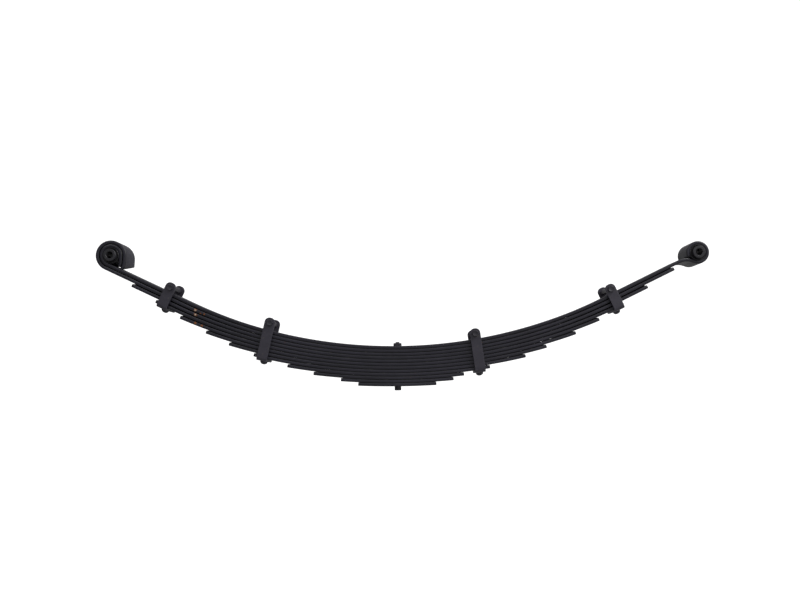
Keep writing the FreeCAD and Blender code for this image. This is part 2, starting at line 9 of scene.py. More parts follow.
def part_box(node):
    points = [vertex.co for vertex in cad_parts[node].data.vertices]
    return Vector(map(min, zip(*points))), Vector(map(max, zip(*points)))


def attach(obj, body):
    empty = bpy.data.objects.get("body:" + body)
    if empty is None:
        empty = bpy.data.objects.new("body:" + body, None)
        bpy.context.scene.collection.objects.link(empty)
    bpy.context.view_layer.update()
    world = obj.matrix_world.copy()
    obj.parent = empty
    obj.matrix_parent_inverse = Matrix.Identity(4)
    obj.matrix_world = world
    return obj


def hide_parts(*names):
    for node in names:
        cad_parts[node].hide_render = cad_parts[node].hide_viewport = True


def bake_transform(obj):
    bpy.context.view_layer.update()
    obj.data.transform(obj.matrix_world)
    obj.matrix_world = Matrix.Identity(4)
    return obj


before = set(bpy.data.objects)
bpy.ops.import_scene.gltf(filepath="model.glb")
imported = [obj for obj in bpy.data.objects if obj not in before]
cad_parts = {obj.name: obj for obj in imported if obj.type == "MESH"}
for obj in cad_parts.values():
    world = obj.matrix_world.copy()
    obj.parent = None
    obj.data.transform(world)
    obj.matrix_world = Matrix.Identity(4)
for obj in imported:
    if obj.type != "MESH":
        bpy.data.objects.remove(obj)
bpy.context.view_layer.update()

# Looks of a twelve-leaf semi-elliptic spring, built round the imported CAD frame. Metres, +Z up, X along
# the spring with the front (wrapped) eye at -X, Y across the leaves, origin at the seat.
MM = 0.001

# ---------------------------------------------------------------- driving dimensions, as in the CAD part
THICKNESS = 8.0 * MM
HALF_WIDTH = 35.0 * MM
ARCH_RADIUS = 1145.0 * MM
ARCH = math.radians(25.8)
GAP_PER_LENGTH = 0.0037
GAP_LIMIT = 2.2 * MM
WRAPPER_GAP = 1.6 * MM
BORE_RADIUS = 19.0 * MM
TAIL_TURN = math.radians(5.0)
MAIN_TAIL = 21.0 * MM
WRAPPER_CLEARANCE = 1.2 * MM
WRAPPER_TAIL = 24.0 * MM
REVERSE_BEND = 42.0 * MM
REAR_COIL_END = math.radians(178.0)
LEAF_COUNT = 12

CLIPS = [
    ("front_outer_clip", 4, -556.0 * MM),
    ("front_inner_clip", 8, -321.0 * MM),
    ("rear_inner_clip", 9, 196.0 * MM),
    ("rear_outer_clip", 4, 526.0 * MM),
]
CLIP_WIDTH = 25.0 * MM
CLIP_THICKNESS = 6.0 * MM
CLIP_INNER = 36.0 * MM            # half the width between the legs
CLIP_SEAT_GAP = 0.1 * MM

# Each leaf is built in up to four pieces, split at the seat and at these two X, close to the inner clips.
FRONT_SEAM = -310 * MM
REAR_SEAM = 190 * MM

STATION_STEP = 5.0 * MM


def node_centre(node):
    low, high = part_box(node)
    return (Vector(low) + Vector(high)) / 2


def leaf_node(number):
    ending = {1: "_main", 2: "_wrapper"}.get(number, "")
    return "leaf_%02d%s" % (number, ending)


FRONT_EYE = node_centre("front_bush_sleeve")
REAR_EYE = node_centre("rear_bush_sleeve")


# ---------------------------------------------------------------------------------- the run of a leaf
def leaf_tips(number):
    low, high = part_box(leaf_node(number))
    return low[0], high[0]


def leaf_radii():
    """Concave radius of every leaf: nested on the one above, opened out by the gap at its tips."""
    radii = [ARCH_RADIUS, ARCH_RADIUS + THICKNESS + WRAPPER_GAP / (1 - math.cos(ARCH))]
    for number in range(3, LEAF_COUNT + 1):
        front, rear = leaf_tips(number)
        reach = (rear - front) / 2
        nested = radii[-1] + THICKNESS
        gap = min(GAP_PER_LENGTH * reach, GAP_LIMIT)
        turn = min(ARCH, math.asin(reach / nested))
        radii.append(nested + gap / (1 - math.cos(turn)))
    return radii


RADII = leaf_radii()


def arch_centre(number):
    return Vector((0, 0, (LEAF_COUNT + 1 - number) * THICKNESS + RADII[number - 1]))


def direction(angle):
    return Vector((math.cos(angle), 0, math.sin(angle)))


def arc_run(centre, radius, first, last, side):
    """Stations (point, normal) along an arc of the concave face; side +1 has the normal outward."""
    count = max(4, math.ceil(abs(last - first) * radius / STATION_STEP), math.ceil(abs(last - first) / 0.09))
    run = []
    for step in range(count + 1):
        outward = direction(first + (last - first) * step / count)
        run.append((centre + outward * radius, outward * side))
    return run


def line_run(start, end, normal):
    count = max(2, math.ceil((end - start).length / (2 * STATION_STEP)))
    return [(start.lerp(end, step / count), normal.copy()) for step in range(count + 1)]


def chain(*runs):
    """Join runs end to end, dropping the station that two neighbours share."""
    joined = list(runs[0])
    for run in runs[1:]:
        joined.extend(run[1:])
    return joined


def arch_run(number, first_x, last_x):
    radius = RADII[number - 1]
    first = math.asin(max(-1, min(1, first_x / radius)))
    last = math.asin(max(-1, min(1, last_x / radius)))
    first = max(-ARCH, min(ARCH, first))
    last = max(-ARCH, min(ARCH, last))
    down = -math.pi / 2
    return arc_run(arch_centre(number), radius, down + first, down + last, -1)


def plain_end(number, side):
    """Straight run from the end of the arch to a square tip, or None where the arch itself ends there."""
    normal = Vector((-side * math.sin(ARCH), 0, math.cos(ARCH)))
    tip_x = leaf_tips(number)[1 if side > 0 else 0]
    corner = tip_x + normal.x * THICKNESS
    start = arch_centre(number) + direction(-math.pi / 2 + side * ARCH) * RADII[number - 1]
    run = (corner - start.x) / (side * math.cos(ARCH))
    if run <= 0:
        return None
    end = start + Vector((side * math.cos(ARCH), 0, math.sin(ARCH))) * run
    return line_run(start, end, normal)


def face_tip_x(number, side):
    """X of the tip on the concave face, for a leaf that ends within its arch."""
    tip_x = leaf_tips(number)[1 if side > 0 else 0]
    return tip_x * RADII[number - 1] / (RADII[number - 1] + THICKNESS)


def front_coil(number, centre, radius, tail):
    """From the tip of the tail up, over and round the eye, and down to the arch of the leaf."""
    normal = Vector((math.sin(ARCH), 0, math.cos(ARCH)))
    base = -math.pi / 2 - ARCH + 2 * math.pi
    tail_top = centre + direction(-TAIL_TURN) * radius
    tail_end = tail_top + direction(-TAIL_TURN - math.pi / 2) * tail
    inward = -direction(-TAIL_TURN)
    arch_start = arch_centre(number) + direction(-math.pi / 2 - ARCH) * RADII[number - 1]
    return chain(
        line_run(tail_end, tail_top, inward),
        arc_run(centre, radius, -TAIL_TURN, base, -1),
        line_run(centre + direction(base) * radius, arch_start, normal),
    )


def rear_coil():
    """From the end of the main leaf's arch, through the reverse bend, and round the rear eye."""
    normal = Vector((-math.sin(ARCH), 0, math.cos(ARCH)))
    middle = BORE_RADIUS + THICKNESS / 2
    setback = math.sqrt((REVERSE_BEND + middle) ** 2 - REVERSE_BEND ** 2)
    along = direction(ARCH)
    bend_centre = REAR_EYE - along * setback - normal * REVERSE_BEND
    bend_radius = REVERSE_BEND + THICKNESS / 2
    meeting = math.atan2(REVERSE_BEND, setback) + ARCH
    arch_end = arch_centre(1) + direction(-math.pi / 2 + ARCH) * RADII[0]
    return chain(
        line_run(arch_end, bend_centre + normal * bend_radius, normal),
        arc_run(bend_centre, bend_radius, math.pi / 2 + ARCH, meeting, 1),
        arc_run(REAR_EYE, BORE_RADIUS, meeting + math.pi, REAR_COIL_END + ARCH + 2 * math.pi, -1),
    )


def wrapper_eye():
    """Centre and inner radius of the loose outer wrap round the front eye."""
    along = Vector((-math.cos(ARCH), 0, math.sin(ARCH)))
    normal = Vector((math.sin(ARCH), 0, math.cos(ARCH)))
    radius = BORE_RADIUS + THICKNESS + WRAPPER_CLEARANCE
    start = arch_centre(2) + direction(-math.pi / 2 - ARCH) * RADII[1]
    reach = (FRONT_EYE - start).dot(along)
    return start + along * reach + normal * radius, radius


def leaf_runs(number):
    """The leaf as up to four runs of stations, front to rear: {part name: run}."""
    runs = {}
    front_far = rear_far = None
    front_x, rear_x = FRONT_SEAM, REAR_SEAM
    if number == 1:
        front_far = front_coil(1, FRONT_EYE, BORE_RADIUS, MAIN_TAIL)
    elif number == 2:
        front_far = front_coil(2, *wrapper_eye(), WRAPPER_TAIL)
    elif leaf_tips(number)[0] < FRONT_SEAM:
        front_far = plain_end(number, -1)
        front_far = front_far[::-1] if front_far else []
    else:
        front_x = face_tip_x(number, -1)
    if number == 1:
        rear_far = rear_coil()
    elif leaf_tips(number)[1] > REAR_SEAM + 0.01:
        rear_far = plain_end(number, 1) or []
    else:
        rear_x = face_tip_x(number, 1)
    if front_far is not None:
        outer = -1.0 if front_far else face_tip_x(number, -1)
        arch = arch_run(number, outer, FRONT_SEAM)
        runs["front_far"] = chain(front_far, arch) if front_far else arch
    runs["front_near"] = arch_run(number, front_x, 0.0)
    runs["rear_near"] = arch_run(number, 0.0, rear_x)
    if rear_far is not None:
        outer = 1.0 if rear_far else face_tip_x(number, 1)
        arch = arch_run(number, REAR_SEAM, outer)
        runs["rear_far"] = chain(arch, rear_far) if rear_far else arch
    return runs


# ------------------------------------------------------------------------------------- mesh building
def mesh_object(name, points, faces, edge=None, tone=0.5, crease=38.0):
    """Object from world points and faces, smooth except at creases, with its shading attributes."""
    mesh = bpy.data.meshes.new(name)
    mesh.from_pydata([tuple(point) for point in points], [], faces)
    mesh.update()
    shaped = bmesh.new()
    shaped.from_mesh(mesh)
    bmesh.ops.recalc_face_normals(shaped, faces=shaped.faces)
    shaped.to_mesh(mesh)
    shaped.free()
    mesh.polygons.foreach_set("use_smooth", [True] * len(mesh.polygons))
    mesh.set_sharp_from_angle(angle=math.radians(crease))
    values = {"edge": edge if edge is not None else [0.0] * len(points), "tone": [tone] * len(points)}
    for label, numbers in values.items():
        attribute = mesh.attributes.new(label, "FLOAT", "POINT")
        attribute.data.foreach_set("value", np.asarray(numbers, dtype=np.float32))
    obj = bpy.data.objects.new(name, mesh)
    bpy.context.scene.collection.objects.link(obj)
    return obj


def end_cap(row, columns):
    """One face over a whole row of points."""
    return tuple(range(row * columns, (row + 1) * columns))


def grid_faces(rows, columns, closed_rows=False, closed_columns=True):
    faces = []
    for row in range(rows if closed_rows else rows - 1):
        for column in range(columns if closed_columns else columns - 1):
            right = (column + 1) % columns
            below = (row + 1) % rows
            faces.append((
                row * columns + column,
                row * columns + right,
                below * columns + right,
                below * columns + column,
            ))
    return faces


# ------------------------------------------------------------------------------------------- leaves
SIDE_BULGE = 2.0 * MM
SIDE_POWER = 2.2
TIP_BEVEL = 0.7 * MM
# The leaves bear on each other along the middle of their width: each concave face is crowned to fill
# most of the gap above it, except at its own tips and at two small open spots on the sixth leaf.
CROWN_SHARE = 0.98
CROWN_SPAN = (0.5, 0.75)            # share of the half width: full crown within, none beyond
CROWN_FADE = (0.0, 5.0 * MM)
OPEN_SPOTS = (347.0 * MM, 369.0 * MM)
OPEN_SPOT_SIZE = 3.0 * MM
WRAP_START = -635.0 * MM
# The tails of both front coils were cut off askew: longer at the near edge, where they curl inward.
MAIN_SKEW = 5.0 * MM
WRAPPER_SKEW = 7.2 * MM
TAIL_CURL_START = 18.0 * MM
TAIL_CURL_LENGTH = 12.0 * MM
TAIL_CURL = 5.0 * MM


def leaf_section():
    """Rolled flat bar as (y, n, edge): n runs down from the concave face; the flanks bulge slightly."""
    half_height = THICKNESS / 2
    flank = []
    for step in range(13):
        angle = math.pi / 2 - math.pi * step / 12
        height = abs(math.sin(angle)) ** (2 / SIDE_POWER) * math.copysign(1, math.sin(angle))
        width = abs(math.cos(angle)) ** (2 / SIDE_POWER)
        corner = math.exp(-((abs(height) - 0.86) / 0.17) ** 2)
        flank.append((HALF_WIDTH - SIDE_BULGE * (1 - width), half_height * (height - 1), corner))
    across = []
    for step in range(1, 8):
        across.append(1 - 2 * step / 8)
    inner = HALF_WIDTH - SIDE_BULGE
    bottom = [(inner * share, -THICKNESS, 0.0) for share in across]
    top = [(-inner * share, 0.0, 0.0) for share in across]
    mirrored = [(-y, n, corner) for y, n, corner in reversed(flank)]
    return flank + bottom + mirrored + top


SECTION = leaf_section()


def section_ring(point, normal, inset, shift, crown):
    ring = []
    for y, n, _ in SECTION:
        height = n + THICKNESS / 2
        if n == 0.0:
            full, none = CROWN_SPAN
            height += crown * max(0.0, min(1.0, (none - abs(y) / HALF_WIDTH) / (none - full)))
        y *= 1 - (inset + abs(shift)) / HALF_WIDTH
        height *= 1 - inset / (THICKNESS / 2)
        ring.append(point + normal * (height - THICKNESS / 2) + Vector((0, y + shift, 0)))
    return ring


def crown_height(number, point, normal):
    """Crown of the concave face at a station of the arch or the straight run beyond it."""
    if number == 1 or point.x < WRAP_START:
        return 0.0
    opening = RADII[number - 1] - RADII[number - 2] - THICKNESS
    gap = opening * (1 - max(normal.z, math.cos(ARCH)))
    front, rear = leaf_tips(number)
    to_tip = rear - point.x if number == 2 else min(point.x - front, rear - point.x)
    low, high = CROWN_FADE
    fade = max(0.0, min(1.0, (to_tip - low) / (high - low)))
    if number == 6:
        for spot in OPEN_SPOTS:
            fade *= 1 - math.exp(-((point.x - spot) / OPEN_SPOT_SIZE) ** 2)
    return CROWN_SHARE * gap * fade


def skewed_tail(points, centre, tail, skew):
    """Shear the end of a front tail so that it is longer at the near edge and curls inward there."""
    down = direction(-TAIL_TURN - math.pi / 2)
    outward = direction(-TAIL_TURN)
    sheared = []
    for point in points:
        along = (point - centre).dot(down)
        beside = (point - centre).dot(outward)
        if 0 < along < tail + 1 * MM and beside > BORE_RADIUS - 2 * MM:
            point = point - down * (skew * along / tail * point.y / HALF_WIDTH)
            past = max(0.0, (point - centre).dot(down) - TAIL_CURL_START)
            point = point - outward * (TAIL_CURL * (past / TAIL_CURL_LENGTH) ** 2)
        sheared.append(point)
    return sheared


def tip_stations(run, at_start, at_end):
    """Add the bevel at free tips: (point, normal, inset, edge)."""
    stations = [(point, normal, 0.0, 0.0) for point, normal in run]
    if at_start:
        ahead = (run[1][0] - run[0][0]).normalized()
        stations[0] = (run[0][0], run[0][1], TIP_BEVEL, 1.0)
        stations.insert(1, (run[0][0] + ahead * TIP_BEVEL * 0.4, run[0][1], TIP_BEVEL * 0.3, 1.0))
        stations.insert(2, (run[0][0] + ahead * TIP_BEVEL * 1.2, run[0][1], 0.0, 0.6))
    if at_end:
        ahead = (run[-2][0] - run[-1][0]).normalized()
        stations[-1] = (run[-1][0] + ahead * TIP_BEVEL * 1.2, run[-1][1], 0.0, 0.6)
        stations.append((run[-1][0] + ahead * TIP_BEVEL * 0.4, run[-1][1], TIP_BEVEL * 0.3, 1.0))
        stations.append((run[-1][0], run[-1][1], TIP_BEVEL, 1.0))
    return stations


def leaf_piece(number, part, run, at_start, at_end):
    # Neighbouring leaves never line up exactly on their flanks.
    shift = 0.32 * MM * math.sin(2.4 * number + 0.6)
    tone = 0.5 + 0.5 * math.sin(4.1 * number + 1.0)
    points, edge = [], []
    stations = tip_stations(run, at_start, at_end)
    for point, normal, inset, tip_edge in stations:
        points.extend(section_ring(point, normal, inset, shift, crown_height(number, point, normal)))
        edge.extend(max(corner, tip_edge) for _, _, corner in SECTION)
    if part == "front_far" and number == 1:
        points = skewed_tail(points, FRONT_EYE, MAIN_TAIL, MAIN_SKEW)
    if part == "front_far" and number == 2:
        points = skewed_tail(points, wrapper_eye()[0], WRAPPER_TAIL, WRAPPER_SKEW)
    columns = len(SECTION)
    faces = grid_faces(len(stations), columns)
    if at_start:
        faces.append(end_cap(0, columns))
    if at_end:
        faces.append(end_cap(len(stations) - 1, columns))
    return mesh_object("%s_%s" % (leaf_node(number), part), points, faces, edge, tone)


def build_leaf(number):
    runs = leaf_runs(number)
    order = [part for part in ("front_far", "front_near", "rear_near", "rear_far") if part in runs]
    for part in order:
        obj = leaf_piece(number, part, runs[part], part == order[0], part == order[-1])
        obj.data.materials.append(leaf_paint)
        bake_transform(obj)
        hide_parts(leaf_node(number))


# ------------------------------------------------------------------------------- round and hex pieces
def lathe(profile, segments=64, closed=False):
    """Points and faces of a profile of (radius, height) turned about Z. A closed profile makes a tube."""
    points = []
    for radius, height in profile:
        for step in range(segments):
            angle = 2 * math.pi * step / segments
            points.append(Vector((radius * math.cos(angle), radius * math.sin(angle), height)))
    faces = grid_faces(len(profile), segments, closed_rows=closed)
    if not closed:
        faces.append(end_cap(0, segments))
        faces.append(end_cap(len(profile) - 1, segments))
    return points, faces


def rounded(profile, radius, steps=4):
    """Round the corners of an open profile of (radius, height) points with short arcs."""
    smooth = [profile[0]]
    for before, corner, after in zip(profile, profile[1:], profile[2:]):
        here = Vector(corner)
        into = Vector(before) - here
        out = Vector(after) - here
        cut = min(radius, into.length * 0.45, out.length * 0.45)
        first = here + into.normalized() * cut
        last = here + out.normalized() * cut
        for step in range(steps + 1):
            share = step / steps
            point = first.lerp(here, share).lerp(here.lerp(last, share), share)
            smooth.append((point.x, point.y))
    smooth.append(profile[-1])
    return smooth


def moved(points, matrix):
    return [matrix @ point for point in points]


def thread_rows(radius, depth, pitch, low, high, chamfer, segments=40):
    """Helical thread surface between two heights, its crest turned down over the end chamfer."""
    rows = max(6, math.ceil((high - low) / pitch * 8))
    points = []
    for row in range(rows + 1):
        height = low + (high - low) * row / rows
        limit = radius - max(0.0, height - (high - chamfer))
        for step in range(segments):
            turn = step / segments
            phase = (height / pitch - turn) % 1.0
            ridge = 1 - abs(2 * phase - 1)
            reach = min(radius - depth * (1 - ridge), limit)
            angle = 2 * math.pi * turn
            points.append(Vector((reach * math.cos(angle), reach * math.sin(angle), height)))
    faces = grid_faces(rows + 1, segments)
    faces.append(end_cap(rows, segments))
    return points, faces


def hex_outline(flats, turn):
    """Hexagon as (angle, radius) points: its six corners and points along each flat."""
    per_side = 6
    outline = []
    for step in range(6 * per_side):
        angle = 2 * math.pi * step / (6 * per_side)
        from_flat = (angle % (math.pi / 3)) - math.pi / 6
        outline.append((angle + turn, flats / 2 / math.cos(from_flat)))
    return outline


def hex_body(flats, height, bore, turn=0.0, both_ends=False):
    """Hexagon head or nut with its corners turned off at 30 degrees; a bore of 0 leaves it closed."""
    outline = hex_outline(flats, turn)
    rim = flats / 2 * 0.955
    slope = math.tan(math.radians(30))
    soft = 0.25 * MM
    rings = []

    def add(radius_of, height_of):
        ring = []
        for angle, reach in outline:
            radius = radius_of(reach)
            ring.append(Vector((radius * math.cos(angle), radius * math.sin(angle), height_of(radius))))
        rings.append(ring)

    if bore:
        add(lambda reach: bore, lambda radius: 0.0)
    if both_ends:
        add(lambda reach: rim, lambda radius: 0.0)
        add(lambda reach: reach - soft * 0.3, lambda radius: max(0.0, (radius - rim) * slope))
        add(lambda reach: reach, lambda radius: max(0.0, (radius - rim) * slope) + soft)
    else:
        add(lambda reach: reach - soft, lambda radius: 0.0)
        add(lambda reach: reach, lambda radius: soft)
    add(lambda reach: reach, lambda radius: height - max(0.0, (radius - rim) * slope) - soft)
    add(lambda reach: reach - soft * 0.3, lambda radius: height - max(0.0, (radius - rim) * slope))
    add(lambda reach: rim, lambda radius: height)
    if bore:
        add(lambda reach: bore + 0.6 * MM, lambda radius: height)
        add(lambda reach: bore, lambda radius: height - 0.6 * MM)
    else:
        add(lambda reach: rim * 0.94, lambda radius: height)
        add(lambda reach: rim * 0.88, lambda radius: height - 0.25 * MM)
    columns = len(outline)
    points = [point for ring in rings for point in ring]
    faces = grid_faces(len(rings), columns, closed_rows=bool(bore))
    if not bore:
        faces.append(end_cap(0, columns))
        faces.append(end_cap(len(rings) - 1, columns))
    return points, faces


def merged(*parts):
    """Several (points, faces) lists as one."""
    points, faces = [], []
    for part_points, part_faces in parts:
        offset = len(points)
        points.extend(part_points)
        faces.extend(tuple(index + offset for index in face) for face in part_faces)
    return points, faces


def transformed(part, matrix):
    return moved(part[0], matrix), part[1]


def finished(name, part, material, body, tone=0.5, crease=38.0, edge=None):
    obj = mesh_object(name, part[0], part[1], edge, tone, crease)
    obj.data.materials.append(material)
    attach(obj, body)
    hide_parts(name)
    return obj


# ---------------------------------------------------------------------------------------- materials
def new_material(name):
    material = bpy.data.materials.new(name)
    material.use_nodes = True
    tree = material.node_tree
    shader = tree.nodes["Principled BSDF"]
    return material, tree, shader


def node(tree, kind, **settings):
    made = tree.nodes.new(kind)
    for key, value in settings.items():
        if key in made.inputs:
            made.inputs[key].default_value = value
        else:
            setattr(made, key, value)
    return made


def noise(tree, coordinates, scale, detail=3.0, roughness=0.55):
    texture = node(tree, "ShaderNodeTexNoise", Scale=scale, Detail=detail, Roughness=roughness)
    tree.links.new(coordinates, texture.inputs["Vector"])
    return texture.outputs["Fac"]


def ramp(tree, value, low, high, low_out=0.0, high_out=1.0):
    mapped = node(tree, "ShaderNodeMapRange", clamp=True)
    mapped.inputs["From Min"].default_value = low
    mapped.inputs["From Max"].default_value = high
    mapped.inputs["To Min"].default_value = low_out
    mapped.inputs["To Max"].default_value = high_out
    tree.links.new(value, mapped.inputs["Value"])
    return mapped.outputs["Result"]


def math_node(tree, operation, first, second):
    made = node(tree, "ShaderNodeMath", operation=operation)
    for slot_index, value in enumerate((first, second)):
        if isinstance(value, (int, float)):
            made.inputs[slot_index].default_value = value
        else:
            tree.links.new(value, made.inputs[slot_index])
    return made.outputs[0]


def mix_colour(tree, share, first, second):
    mixed = node(tree, "ShaderNodeMix", data_type="RGBA")
    if isinstance(share, (int, float)):
        mixed.inputs[0].default_value = share
    else:
        tree.links.new(share, mixed.inputs[0])
    for slot_index, value in ((6, first), (7, second)):
        if isinstance(value, tuple):
            mixed.inputs[slot_index].default_value = (*value, 1.0)
        else:
            tree.links.new(value, mixed.inputs[slot_index])
    return mixed.outputs[2]


def bump(tree, height, strength, distance, under=None):
    made = node(tree, "ShaderNodeBump", Strength=strength, Distance=distance)
    tree.links.new(height, made.inputs["Height"])
    if under is not None:
        tree.links.new(under, made.inputs["Normal"])
    return made.outputs["Normal"]


def attribute(tree, name):
    return node(tree, "ShaderNodeAttribute", attribute_name=name).outputs["Fac"]


RUST = (0.30, 0.095, 0.018)
BARE = (0.46, 0.36, 0.28)
# Near-black of the painted shade between the leaves.
PAINTED_SHADE_COLOUR = (0.003, 0.003, 0.0035)
PRIMER = (0.075, 0.068, 0.062)


def black_paint(name, base, light, roughness, peel, chips, large_chips=(), painted_edge_shade=0.0):
    """Black paint over steel: dusty variation, painted shade darkening the edges, orange peel, rubbed edges
    and small rusty chips.
    """
    material, tree, shader = new_material(name)
    links = tree.links
    place = node(tree, "ShaderNodeTexCoord").outputs["Object"]
    edge = attribute(tree, "edge")
    tone = attribute(tree, "tone")

    cloudy = noise(tree, place, 9.0, 4.0)
    streaky_place = node(tree, "ShaderNodeMapping")
    streaky_place.inputs["Scale"].default_value = (14.0, 60.0, 90.0)
    links.new(place, streaky_place.inputs["Vector"])
    streaky = noise(tree, streaky_place.outputs["Vector"], 1.0, 4.0)
    fine = noise(tree, place, 420.0, 2.0)
    variation = math_node(tree, "ADD", ramp(tree, cloudy, 0.3, 0.7, 0.0, 0.45),
                          ramp(tree, streaky, 0.35, 0.75, 0.0, 0.35))
    variation = math_node(tree, "ADD", variation, math_node(tree, "MULTIPLY", tone, 0.2))
    colour = mix_colour(tree, variation, base, light)
    # Painted shade: the edge weight (flank corners and tips) darkens the colour toward near-black, as shade
    # where the leaves meet; only the leaves use it.
    colour = mix_colour(tree, math_node(tree, "MULTIPLY", edge, painted_edge_shade), colour, PAINTED_SHADE_COLOUR)

    rub_noise = noise(tree, place, 140.0, 5.0, 0.65)
    rub = math_node(tree, "MULTIPLY", edge, ramp(tree, rub_noise, 0.56, 0.68))
    rub = math_node(tree, "MULTIPLY", rub, ramp(tree, noise(tree, place, 26.0, 3.0), 0.46, 0.6))
    colour = mix_colour(tree, math_node(tree, "MULTIPLY", rub, chips), colour, PRIMER)

    spot_noise = noise(tree, place, 210.0, 4.0, 0.6)
    spots = ramp(tree, spot_noise, 0.70, 0.735)
    spots = math_node(tree, "MULTIPLY", spots, ramp(tree, noise(tree, place, 17.0, 2.0), 0.55, 0.62))
    spots = math_node(tree, "MULTIPLY", spots, chips)
    rust_shade = mix_colour(tree, fine, RUST, tuple(0.45 * part for part in RUST))
    ragged = ramp(tree, noise(tree, place, 420.0, 3.0), 0.3, 0.7, -1.6 * MM, 1.6 * MM)
    for x, z, radius in large_chips:
        gap = node(tree, "ShaderNodeVectorMath", operation="DISTANCE")
        links.new(place, gap.inputs[0])
        gap.inputs[1].default_value = (x, -HALF_WIDTH, z)
        reach = math_node(tree, "ADD", gap.outputs["Value"], ragged)
        spots = math_node(tree, "MAXIMUM", spots, ramp(tree, reach, radius, radius * 0.8))
        if radius > 3 * MM:
            core = ramp(tree, reach, radius * 0.62, radius * 0.45)
            rust_shade = mix_colour(tree, core, rust_shade, BARE)
    colour = mix_colour(tree, spots, colour, rust_shade)
    links.new(colour, shader.inputs["Base Color"])

    gloss = ramp(tree, noise(tree, place, 34.0, 4.0), 0.3, 0.7, roughness - 0.05, roughness + 0.09)
    worn = math_node(tree, "MAXIMUM", math_node(tree, "MULTIPLY", rub, 0.6), spots)
    gloss = math_node(tree, "ADD", gloss, math_node(tree, "MULTIPLY", worn, 0.35))
    links.new(gloss, shader.inputs["Roughness"])

    orange_peel = noise(tree, place, 330.0, 2.0, 0.4)
    scale_marks = noise(tree, place, 70.0, 4.0, 0.6)
    grain = noise(tree, place, 1400.0, 2.0)
    normal = bump(tree, scale_marks, peel * 0.8, 0.0006)
    normal = bump(tree, orange_peel, peel, 0.00022, normal)
    normal = bump(tree, grain, peel * 0.5, 0.00006, normal)
    dents = math_node(tree, "SUBTRACT", 1.0, spots)
    normal = bump(tree, dents, 0.5, 0.0002, normal)
    links.new(normal, shader.inputs["Normal"])
    return material


def rubber_material():
    material, tree, shader = new_material("bush_rubber")
    place = node(tree, "ShaderNodeTexCoord").outputs["Object"]
    cloudy = noise(tree, place, 60.0, 4.0)
    colour = mix_colour(tree, ramp(tree, cloudy, 0.3, 0.7), (0.012, 0.012, 0.012), (0.028, 0.027, 0.026))
    tree.links.new(colour, shader.inputs["Base Color"])
    dust = ramp(tree, noise(tree, place, 300.0, 3.0), 0.35, 0.7, 0.62, 0.82)
    tree.links.new(dust, shader.inputs["Roughness"])
    normal = bump(tree, noise(tree, place, 700.0, 3.0), 0.25, 0.0002)
    tree.links.new(normal, shader.inputs["Normal"])
    return material


# Chips through the paint on the near flanks, just behind the front outer clip: (x, z, radius).
LEAF_CHIPS = [
    (-478 * MM, 186 * MM, 3.6 * MM),
    (-478 * MM, 175 * MM, 3.8 * MM),
    (-466 * MM, 178 * MM, 2.2 * MM),
    (-457 * MM, 176 * MM, 1.8 * MM),
    (-479 * MM, 155 * MM, 3.0 * MM),
    (-463 * MM, 149 * MM, 2.2 * MM),
]
# The leaves carry painted shade along the edges where they meet their neighbours.
leaf_paint = black_paint("leaf_paint", (0.0085, 0.0080, 0.0140), (0.026, 0.024, 0.040), 0.38, 0.22, 0.8,
                         large_chips=LEAF_CHIPS, painted_edge_shade=0.8)
clip_paint = black_paint("clip_paint", (0.026, 0.024, 0.035), (0.056, 0.051, 0.070), 0.42, 0.30, 1.0)
fastener_paint = black_paint("fastener_paint", (0.018, 0.017, 0.023), (0.042, 0.039, 0.052), 0.38, 0.2, 1.0)
sleeve_paint = black_paint("sleeve_paint", (0.012, 0.0118, 0.015), (0.026, 0.025, 0.031), 0.40, 0.22, 0.9)
bush_rubber = rubber_material()


# -------------------------------------------------------------------------------------- centre bolt
CENTRE_SHANK = 5.0 * MM
CENTRE_HEAD = 8.0 * MM
CENTRE_HEAD_HEIGHT = 10.0 * MM
CENTRE_NUT_FLATS = 17.0 * MM
CENTRE_NUT_HEIGHT = 8.0 * MM
NUT_SEAT_GAP = 0.08 * MM
CENTRE_STUB = 2.6 * MM
THREAD_PLAY = 0.05 * MM
PACK_TOP = LEAF_COUNT * THICKNESS
STUB_TOP = PACK_TOP + CENTRE_NUT_HEIGHT + CENTRE_STUB


def build_centre_bolt():
    head = rounded([
        (0.4 * MM, -CENTRE_HEAD_HEIGHT),
        (CENTRE_HEAD - 1.6 * MM, -CENTRE_HEAD_HEIGHT),
        (CENTRE_HEAD, -CENTRE_HEAD_HEIGHT + 1.4 * MM),
        (CENTRE_HEAD, -0.1 * MM),
        (CENTRE_SHANK, -0.1 * MM),
        (CENTRE_SHANK, PACK_TOP),
    ], 0.5 * MM)
    shank = lathe(head, 48)
    pitch = 1.5 * MM
    stub = thread_rows(CENTRE_SHANK, pitch / 2, pitch, PACK_TOP + CENTRE_NUT_HEIGHT - pitch, STUB_TOP,
                       chamfer=1.0 * MM)
    finished("centre_bolt", merged(shank, stub), fastener_paint, "pack", 0.6)
    lift = Matrix.Translation((0, 0, PACK_TOP + NUT_SEAT_GAP))
    nut = hex_body(CENTRE_NUT_FLATS, CENTRE_NUT_HEIGHT, CENTRE_SHANK + THREAD_PLAY, both_ends=True)
    finished("centre_bolt_nut", transformed(nut, lift), fastener_paint, "pack", 0.4)


# ------------------------------------------------------------------------------------------- bushes
SHELL = (18.95 * MM, 17.45 * MM, 35.0 * MM)       # outer radius, inner radius, half length
RUBBER = (17.45 * MM, 14.55 * MM, 33.0 * MM)
SLEEVE = (14.5 * MM, 8.0 * MM, 45.0 * MM)
ALONG_Y = Matrix.Rotation(-math.pi / 2, 4, "X")


